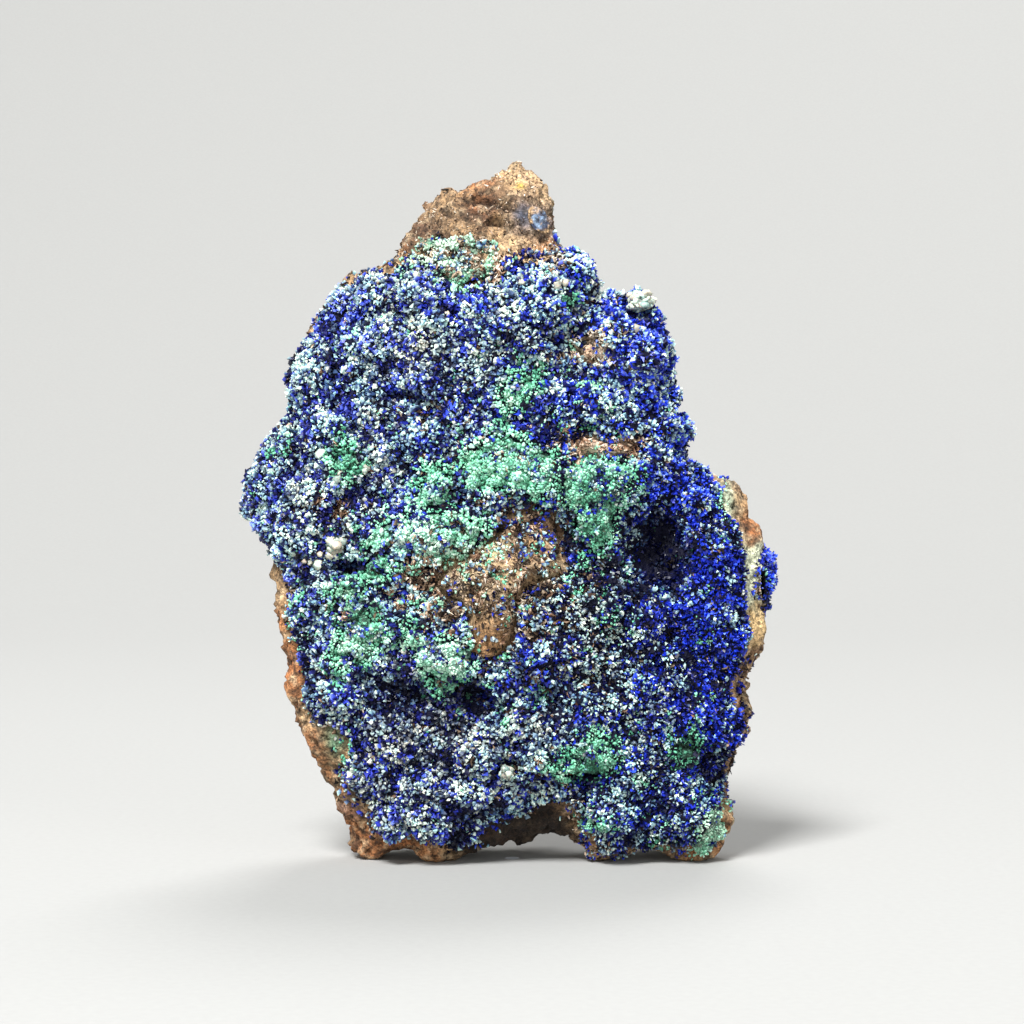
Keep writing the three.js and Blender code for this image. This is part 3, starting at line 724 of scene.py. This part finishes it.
def weathered(points):
    """The rock's colour as it weathered: tan, rusty on the rim and the foot, and stained on its back."""
    x, y, z = points.T
    back = smoothstep(-5, 4, y)
    colour = blend(0.6 + wander(points, 4.0, 5), "#6c503c", "#b8966e")
    colour = blend(0.75 * back * cells(points, 14.0, 21), colour, "#6a5444")
    rust = wander(points, 8.0, 7) + 0.9 * smoothstep(45, 5, z) * smoothstep(-5, -27, x) - 0.3
    colour = blend(0.8 * smoothstep(-0.2, 0.5, rust), colour, "#a8683a")
    # Ochre, faint malachite films and dark manganese blotches on the back.
    ochre = back * patches(points, 0.15, 0.5, 10.0, 23)
    colour = blend(0.6 * ochre, colour, "#b98a4c")
    film = back * patches(points, 0.22, 0.50, 7.0, 15) * patches(points, -0.3, 0.3, 1.2, 16)
    colour = blend(0.75 * film, colour, "#7db095")
    blotch = back * patches(points, 0.25, 0.55, 9.0, 17) * patches(points, -0.3, 0.3, 1.6, 18)
    colour = blend(0.7 * blotch, colour, "#2b2019")
    # Pale and dark grains.
    colour = blend(0.7 * patches(points, 0.05, 0.5, 1.0, 6), colour, "#cbb08c")
    return blend(0.8 * patches(points, 0.05, 0.5, 1.3, 8), colour, "#3a2a1e")


def stained(colour, where, x, z, stains):
    """A colour under stains, each (hex colour, strength, spots), as far as the rock takes them there."""
    for colour_and_shade, strength, spots in stains:
        colour = blend(strength * where * spot_field(x, z, 0, spots), colour, colour_and_shade)
    return colour


def rock_colour(points, pits, crease):
    """The rock's colour at each point: weathered all over, with stains that each have their place, and
    painted shade in its pits, crease and cave.
    """
    x, y, z = points.T
    ahead, near = y < 0, y < 2
    colour = stained(weathered(points), ahead * smoothstep(76, 80, z), x, z, SUMMIT_STAINS)
    # Painted shade: the sunk pits and the crease are darkened.
    colour = blend(0.9 * np.maximum(crease, 0.7 * pits), colour, "#1c140e")
    # The small outcrops are mottled tan to pink.
    small_outcrops = smoothstep(0.15, 0.5, spot_field(x, z, 0, SMALL_OUTCROPS)) * ahead
    mottled = blend(0.55 + 0.9 * wander(points, 1.5, 19), "#c39c7e", "#f2dcc4")
    colour = blend(0.92 * small_outcrops, colour, mottled)
    boss = ahead * smoothstep(18, 12, np.hypot(x - BOSS_X, z - BOSS_Z))
    colour = stained(colour, boss, x, z, BOSS_STAINS)
    # A ragged pale strip runs down beside the flank crust, green above and tan below.
    ragged = 2.2 * wander(points, 3.0, 20)
    strip = smoothstep(28, 31, x) * smoothstep(29, 32, z + ragged) * smoothstep(44, 41, z + ragged)
    strip *= smoothstep(2.5, 0.5, y + ragged)
    pale = blend(smoothstep(37, 33, z + ragged), "#d9e0c2", "#d4b582")
    colour = blend(0.85 * strip, colour, pale)
    colour = stained(colour, near, x, z, RIGHT_STAINS)
    mottle = np.clip(0.8 + 0.6 * wander(points, 1.2, 24), 0, 1)
    colour = stained(colour, near * (x < -18) * mottle, x, z, LOWER_LEFT_STAINS)
    # Painted shade: the hollow under the lower edge is darkened.
    cave_shade = smoothstep(0.12, 0.4, spot_field(x, z, 0, CAVE_SHADE)) * (y < 6)
    return blend(0.94 * cave_shade, colour, "#180e08")


def make_rock(druse_tree):
    """The rock that everything stands on, with its summit, outcrops, rim and broken back."""
    rock = remeshed("matrix_rock", "rock", voxel=0.48, rounds=24)
    points, normals = corners_of(rock.data)
    x, y, z = points.T
    pits = patches(points, 0.25, 0.6, 1.4, 3)
    # A crease runs across the summit, sunk and painted dark as shade.
    crease = np.exp(-((z - 88.6 + 0.25 * (x + 3.5)) / 0.5) ** 2) * smoothstep(-8.5, -6, x)
    crease *= smoothstep(2, -0.5, x) * (y < 0)
    height = rock_height(points, normals, distances(druse_tree, points), pits, crease)
    reshape(rock, points + normals * height[:, None])
    paint(rock, rock_colour(points, pits, crease))
    finish_piece(rock, broken_rock("iron_stained_rock"), "iron_stained_rock", "matrix_rock")
    return rock


# ---- the azurite


def make_druse_ground(node, name, trees, relief):
    """The lobed ground that the druse's small bodies stand on, painted near black as the shade between them.
    """
    ground = remeshed(node, name, voxel=0.62, rounds=6)
    points, normals = corners_of(ground.data)
    x, y, z = points.T
    free = smoothstep(0.5, 1.6, distances(trees["rock"], points, 4.0))
    by_green = smoothstep(2.2, 0.4, distances(trees["green"], points, 4.0))
    lobes = 1.9 * (knobs(points, *DRUSE_LOBES) - 0.62) + 1.2 * (knobs(points, 2.6, 12) - 0.60) - 0.25
    dips = np.clip(spot_field(x, z, 0, SHADED), 0, 1) * (y < 0)
    height = relief * (lobes * (1 - by_green) + 0.5 * by_green) - 1.6 * dips
    reshape(ground, points + normals * (free * height)[:, None])
    # Painted shade: the ground is near black, for the shade in the gaps between the bodies.
    colour = blend(0.5 + 0.5 * wander(points, 3.0, 13), "#020310", "#070826")
    colour = blend(patches(points, 0.2, 0.9, 4.0, 14) * 0.6, colour, "#141210")
    paint(ground, colour)
    finish_piece(ground, crystal_ground(name + "_ground"), "azurite_crystals", node)
    return ground


# ---- the small bodies that cover the face

# The pieces that bodies grow on, by number; the green crusts follow.
ROCK, DRUSE, FLANK = range(3)
# The bodies are about this far apart, in millimetres.
BODY_GAP = 0.295
# The height above the floor below which nothing grows, and where the bare summit starts.
FLOOR_GAP, SUMMIT_FOOT = 0.5, 79


def beside_druse(places, normals, from_druse):
    """Which places on the rock carry bodies of the druse that grew over its edge."""
    x, y, z = places.T
    reach = np.where(normals[:, 1] < FACING, 1.4, 2.6 + 3.0 * wander(places, 4.0, 72))
    right = x > 29
    reach[right] += 1.0 + 2.0 * wander(places[right], 2.0, 73)
    reach[(z < 4) & (x > 8)] += 1.5
    beside = chance.random(len(places)) < 0.7 * smoothstep(1, 0.15, from_druse / np.maximum(reach, 0.5))
    # A blue peak rises into the summit, and a lump of crystals clings to the flank.
    beside |= within(x, z, 2.2, 80.4, 2.2, 1.9) & (y < 0) & (chance.random(len(places)) < 0.9)
    beside &= (x < 29) | (z < 28) | (y > 0) | within(x, z, 34.4, 37.5, 2.4, 5.0)
    return beside & ((x > -24) | (z > 40) | (from_druse < 0.7))


def places_for_bodies(pieces, trees):
    """Where bodies stand on the pieces: places, normals, and which are on the rock or loose on the summit."""
    places, normals, owners = surface_points(pieces, BODY_GAP)
    reachable = np.where(owners > ROCK, places[:, 1] < 12, (places[:, 1] < 6) & (normals[:, 1] < 0.5))
    places, normals, owners = places[reachable], normals[reachable], owners[reachable]
    on_rock = owners == ROCK
    x, _, z = places.T
    beside = beside_druse(places, normals, distances(trees["druse"], places))
    # The outcrops carry a loose cover, on the walls round the boss too.
    from_boss = np.hypot(x - BOSS_X, z - BOSS_Z)
    outcrop = (1 - np.clip(spot_field(x, z, 0, FACETS), 0, 1)) * smoothstep(16, 9, from_boss)
    outcrop = np.maximum(outcrop, 0.55 * within(x, z, 10.6, 69, 4, 4) + 0.8 * within(x, z, 12, 56, 7, 4))
    loose = on_rock & ~beside & (z > SUMMIT_FOOT) & (chance.random(len(places)) < 0.24)
    facing = normals[:, 1] < np.where(from_boss < 15, 0.2, FACING)
    keep = ~on_rock | beside | loose | (facing & (chance.random(len(places)) < 0.85 * outcrop))
    keep &= z > FLOOR_GAP
    places, normals, owners, on_rock, loose = (v[keep] for v in (places, normals, owners, on_rock, loose))
    sheltered = np.zeros(len(places), bool)
    on_druse = (owners == DRUSE) | (owners == FLANK)
    for others, mine in (("druse_and_green", on_rock), ("rock_and_green", on_druse),
                         ("rock_and_druse", owners > FLANK)):
        sheltered[mine] = against(trees[others], places[mine], normals[mine])
    return [values[~sheltered] for values in (places, normals, on_rock, loose)]


def fields_over(places):
    """The fields that both the kinds and the tones of the bodies follow, a number for each place."""
    x, y, z = places.T
    front = y < 0
    return SimpleNamespace(
        front=front, shade=np.clip(spot_field(x, z, 0, SHADED), 0, 1) * front,
        lumps=knobs(places, 1.5, 61), lobes=knobs(places, *DRUSE_LOBES) - 0.6,
        fine=wander(places, 0.7, 62), soft=wander(places, 1.5, 63), broad=wander(places, 4.0, 64),
        patchy=wander(places, 3.4, 69), grain=cells(places, 0.75, 71), crystal=cells(places, 1.5, 61))


def kinds_of_bodies(places, on_rock, from_green, over):
    """Which mineral each body is; none is a gap between the bodies, down to the dark ground."""
    x, _, z = places.T
    dusting = spot_field(x, z, 0.50, DUSTED) + 0.38 * over.patchy + 0.12 * over.soft + 0.22 * over.lobes
    white_cover = np.clip(dusting, 0.05, 1) * (1 - 0.75 * over.shade)
    crumb_cover = np.clip(spot_field(x, z, 0.02, CRUMBLED) * over.front + 0.4 * on_rock, 0, 0.80)
    inside = np.clip(0.92 + 0.5 * wander(places, 2.4, 65), 0, 1) * smoothstep(2.6, 0.0, from_green)
    green_cover = np.maximum(spot_field(x, z, 0.0, GREENED) * over.front + 0.12 * over.broad, inside)
    green_cover = green_cover * (1 - np.clip(spot_field(x, z, 0, GREEN_GAPS), 0, 0.9) * over.front)
    broken = np.clip(spot_field(x, z, 0, BROKEN_GREEN) * over.front, 0, 0.9)
    crumb_cover = np.maximum(crumb_cover, 0.9 * broken)
    torn = smoothstep(-0.25, 0.25, over.soft + broken - 0.45) * (broken > 0.05)
    green_cover = green_cover * (1 - 0.85 * torn)
    kinds = np.full(len(places), "blue", dtype="<U6")
    kinds[ranks((over.grain, 0.40), (over.lumps, -0.15), (over.fine, 0.20)) < white_cover] = "white"
    kinds[ranks((wander(places, 1.6, 66), 0.55)) < crumb_cover] = "crumb"
    scarce = chance.random(len(places)) < spot_field(x, z, 0, BLUE_SCARCE) * over.front
    kinds[scarce & (kinds == "blue")] = "crumb"
    kinds[ranks((wander(places, 1.8, 67), 0.6)) < green_cover * (1 - 0.5 * over.shade)] = "green"
    gaps = np.where(kinds == "green", 0.04, 0.14 + 0.3 * over.shade)
    kinds[ranks((over.lumps, 0.4), (wander(places, 0.9, 68), 0.3)) < gaps] = "none"
    return kinds


def tones_and_hues(places, over):
    """For each kind, how light its bodies are and how far they are tinged, from 0 to 1 at each place."""
    x, _, z = places.T
    crystal, lumps = over.crystal - 0.5, over.lumps - 0.5
    # The lumps, the druse's lobes and the green knobs make the bodies paler on their tops and darker in the
    # creases: painted light and shade.
    light = {
        "blue": (spot_field(x, z, 0.52, BLUE_LIGHT) + 0.26 * over.broad + 0.30 * crystal + 0.16 * lumps
                 + 0.16 * over.lobes),
        "white": (spot_field(x, z, 0.67, WHITE_LIGHT) + 0.14 * over.patchy + 0.24 * crystal + 0.2 * lumps
                  + 0.14 * over.lobes),
        "green": (spot_field(x, z, 0.61, GREEN_LIGHT) + 0.20 * over.soft + 0.10 * over.broad + 0.16 * lumps
                  + 0.34 * (knobs(places, *GREEN_KNOBS) - 0.6)),
        "crumb": spot_field(x, z, 0.60, CRUMB_LIGHT) + 0.26 * over.soft + 0.3 * crystal,
    }
    tinge = wander(places, 5.0, 70)
    hue = {
        "blue": 0.40 - 0.018 * x + 0.35 * tinge,
        "white": spot_field(x, z, 0.30, CREAMY) + 0.35 * tinge,
        "green": spot_field(x, z, 0.12, GREYED) + 0.25 * tinge,
        "crumb": spot_field(x, z, 0.35, PINK) + 0.4 * over.patchy,
    }
    return light, hue


def cover_face(druse, flank, greens, rock, trees):
    """The small bodies that make up the face: azurite blades, white dusting, green tufts and rock crumbs."""
    places, normals, on_rock, loose = places_for_bodies([rock, druse, flank, *greens], trees)
    over = fields_over(places)
    kinds = kinds_of_bodies(places, on_rock, distances(trees["green"], places), over)
    kinds[loose] = "crumb"
    light, hue = tones_and_hues(places, over)
    x, _, z = places.T
    width = np.minimum(chance.lognormal(0, 0.40, len(places)), 1.9)
    rise = 0.10 + 0.60 * over.lumps + 0.25 * chance.random(len(places))
    # Loose flakes lie flat on the summit.
    rise[loose] = 0.04
    width[loose] *= 0.8
    turns = turned(normals, tilt=0.40)
    # Material, shape, slot, width and length, tone at the root (painted shade), spread of tones and whether
    # it is rounded.
    looks = {
        "blue": (azurite_crystal(), BLADE, "azurite_crystals", (0.50, 0.42), 0.20, 0.20, False),
        "white": (white_dusting(), GRAIN, "calcite_grains", (0.46, 0.36), 0.15, 0.18, False),
        "green": (malachite_tuft(), GRAIN, "malachite_velvet", (0.38, 0.34), 0.54, 0.10, True),
        "crumb": (rock_crumb(), BLADE, "iron_stained_rock", (0.68, 0.27), 0.36, 0.16, False),
    }
    upper, left = z > 58, x < -4
    thirds = {"upper": upper, "left": ~upper & left, "right": ~upper & ~left}
    for kind, (material, shape, slot, breadth, shaded_root_tone, spread, rounded) in looks.items():
        for where, third in thirds.items():
            chosen = third & (kinds == kind)
            number = chosen.sum()
            # The bodies are finer towards the lower right.
            wide = width[chosen] * (1 - 0.22 * smoothstep(0, 12, x[chosen]) * smoothstep(66, 56, z[chosen]))
            tall = 0.25 + rise[chosen] * (0.6 if kind in ("green", "crumb") else 0.9)
            long = wide * breadth[1] * chance.uniform(0.7, 1.2, number)
            sizes = np.column_stack([wide * breadth[0], long, tall])
            middles = places[chosen] - 0.2 * normals[chosen] + turns[chosen][:, :, 2] * tall[:, None] / 2
            tones = (light[kind][chosen] + chance.normal(0, spread, number)) * (1 - 0.9 * over.shade[chosen])
            hues = hue[kind][chosen] + chance.normal(0, 0.22, number)
            body = grown(f"{kind}_grains_{where}", shape, BODY_FACES, middles, turns[chosen], sizes,
                         np.clip(tones, 0.03, 1), hues, wobble=0.07, shaded_root_tone=shaded_root_tone, smooth=rounded)
            finish_piece(body, material, slot)
    add_white_knots(places[over.front], normals[over.front])


# ---- the green crusts

# Each crust's colour on its knobs, with painted light, and in its creases, with painted shade.
GREEN_LOOKS = {
    "malachite_crust_centre": ("#86cbb0", "#224f40"),
    "malachite_nodule_left": ("#86cfb2", "#2a5a4a"),
    "malachite_crust_left_band": ("#93cdb6", "#335f50"),
    "malachite_knoll_right": ("#69ac92", "#1e4539"),
    "malachite_crust_left": ("#52886e", "#1a392e"),
    "malachite_crust_lower_left": ("#a5dcc8", "#3d6b5b"),
    "malachite_crust_bottom": ("#6fbb9a", "#1f4f3e"),
    "malachite_crust_corner": ("#adc8b5", "#567565"),
    "malachite_crust_top": ("#a3bfa8", "#5e6e5c"),
    "malachite_spot_upper": ("#60ac8a", "#204c3b"),
    "malachite_spot_left": ("#47806a", "#18392d"),
    "malachite_spot_low_right": ("#3c7059", "#152f24"),
}


def material_slot(node):
    """The material slot that the record gives a node."""
    return next(part["material_slot"] for part in frame["record"]["subparts"] if part["node"] == node)


def make_green_crusts():
    """The malachite crusts, knobbly in front and uneven at their sides."""
    pieces = []
    for node, (lit_knob_colour, shaded_crease_colour) in GREEN_LOOKS.items():
        crust = remeshed(node, node + "_knobs", voxel=0.36, rounds=6)
        points, normals = corners_of(crust.data)
        x, _, z = points.T
        big, small = knobs(points, *GREEN_KNOBS), knobs(points, 1.0, 32)
        front = smoothstep(0.2, -0.3, normals[:, 1])
        uneven = (1 - front) * (0.25 + 0.9 * wander(points, 1.6, 35))
        height = front * (1.8 * (big - 0.65) + 0.5 * (small - 0.5)) + uneven
        reshape(crust, points + normals * height[:, None])
        # Painted light and shade: paler on the knobs that stand out, darker in the creases between them.
        share = 0.5 * small + 0.40 * big + 0.35 * wander(points, 1.6, 33)
        colour = blend(share, shaded_crease_colour, lit_knob_colour)
        colour = blend(patches(points, 0.35, 0.8, 2.4, 34) * 0.7, colour, "#1c2a5a")
        # Painted shade: near black where the crust leaves gaps for crystals.
        colour = blend(0.9 * spot_field(x, z, 0, GREEN_GAPS), colour, "#0a0e2c")
        paint(crust, colour)
        finish_piece(crust, malachite_crust(node + "_velvet"), material_slot(node), node)
        pieces.append(crust)
    return pieces


# ---- calcite and film


def knob_shape():
    """A ball of 80 faces, one across: its points and faces."""
    ball = bmesh.new()
    bmesh.ops.create_icosphere(ball, subdivisions=2, radius=0.5)
    points = np.array([tuple(v.co) for v in ball.verts])
    faces = np.array([[v.index for v in face.verts] for face in ball.faces])
    ball.free()
    return points, faces


def add_white_knots(places, normals):
    """Larger rounded grains of calcite, singly and in small clusters on the druse."""
    x, _, z = places.T
    _, apart = np.unique(np.floor(places / 1.15).astype(int), axis=0, return_index=True)
    chosen = apart[spot_field(x, z, 0, WHITE_KNOTS)[apart] > 0.5]
    add_knobs("calcite_knots", places[chosen], normals[chosen], 0.95, calcite_knot())


def add_knobs(name, places, normals, middling, material):
    """Rounded grains of a middling width in millimetres, partly sunk, at each place."""
    shape, faces = knob_shape()
    count = len(places)
    size = chance.lognormal(0, 0.22, count) * middling
    sizes = np.column_stack([size, size * chance.uniform(0.7, 1.1, count), size * 0.85])
    middles = places + 0.22 * size[:, None] * normals
    made = grown(name, shape, faces, middles, turned(normals, tilt=0.5), sizes,
                 chance.uniform(0.35, 0.8, count), chance.random(count), wobble=0.085, shaded_root_tone=0.3,
                 smooth=True)
    finish_piece(made, material, "calcite_grains")


def make_white_knots():
    """The knots of white grains: a low core, and a heap of rounded grains over it."""
    white = calcite_knot()
    for node in ("calcite_knot_upper_right", "calcite_knot_left", "calcite_knot_low_middle"):
        knot = remeshed(node, node + "_core", voxel=0.25, rounds=4)
        points, normals = corners_of(knot.data)
        bumps = knobs(points, 0.9, 41)
        reshape(knot, points + normals * (0.5 * bumps - 0.6)[:, None])
        # Painted light and shade: paler on the bumps, darker between them.
        note(knot.data, "tone", 0.1 + 0.5 * bumps)
        note(knot.data, "hue", np.full(len(points), 0.5))
        finish_piece(knot, white, "calcite_grains", node)
        places, outwards, _ = surface_points([knot], 0.95)
        add_knobs(node + "_grains", places - 0.2 * outwards, outwards, 1.0, white)


def make_summit_film():
    """The thin blue-grey film on the summit, giving way to rock at its ragged border."""
    film = remeshed("azurite_summit_film", "summit_film", voxel=0.28, rounds=4)
    points, normals = corners_of(film.data)
    front = smoothstep(0.2, -0.3, normals[:, 1])
    reshape(film, points + normals * (front * (0.4 * knobs(points, 1.0, 51) - 0.5))[:, None])
    colour = blend(0.4 + 0.9 * wander(points, 0.8, 52), "#1c2440", "#7c92ac")
    across = 2 * (points - points.mean(0)) / np.ptp(points, axis=0)
    border = smoothstep(0.7, 1.1, np.hypot(across[:, 0], across[:, 2]) + 0.5 * wander(points, 1.2, 54))
    colour = blend(np.maximum(border, patches(points, 0.2, 0.5, 1.3, 53)), colour, "#a98a66")
    paint(film, colour)
    finish_piece(film, broken_rock("azurite_film", 0.6), "azurite_film", "azurite_summit_film")


place_camera()
place_studio()
cad_rock = [frame["nodes"]["matrix_rock"]]
cad_druse = [frame["nodes"]["azurite_druse"], frame["nodes"]["azurite_flank_crust"]]
cad_green = [frame["nodes"][node] for node in GREEN_LOOKS]
trees = {
    "rock": tree_of(*cad_rock),
    "druse": tree_of(*cad_druse),
    "green": tree_of(*cad_green),
    "druse_and_green": tree_of(*cad_druse, *cad_green),
    "rock_and_green": tree_of(*cad_rock, *cad_green),
    "rock_and_druse": tree_of(*cad_rock, *cad_druse),
}
rock = make_rock(trees["druse"])
greens = make_green_crusts()
druse = make_druse_ground("azurite_druse", "druse", trees, relief=1.0)
flank = make_druse_ground("azurite_flank_crust", "flank", trees, relief=0.7)
cover_face(druse, flank, greens, rock, trees)
make_white_knots()
make_summit_film()
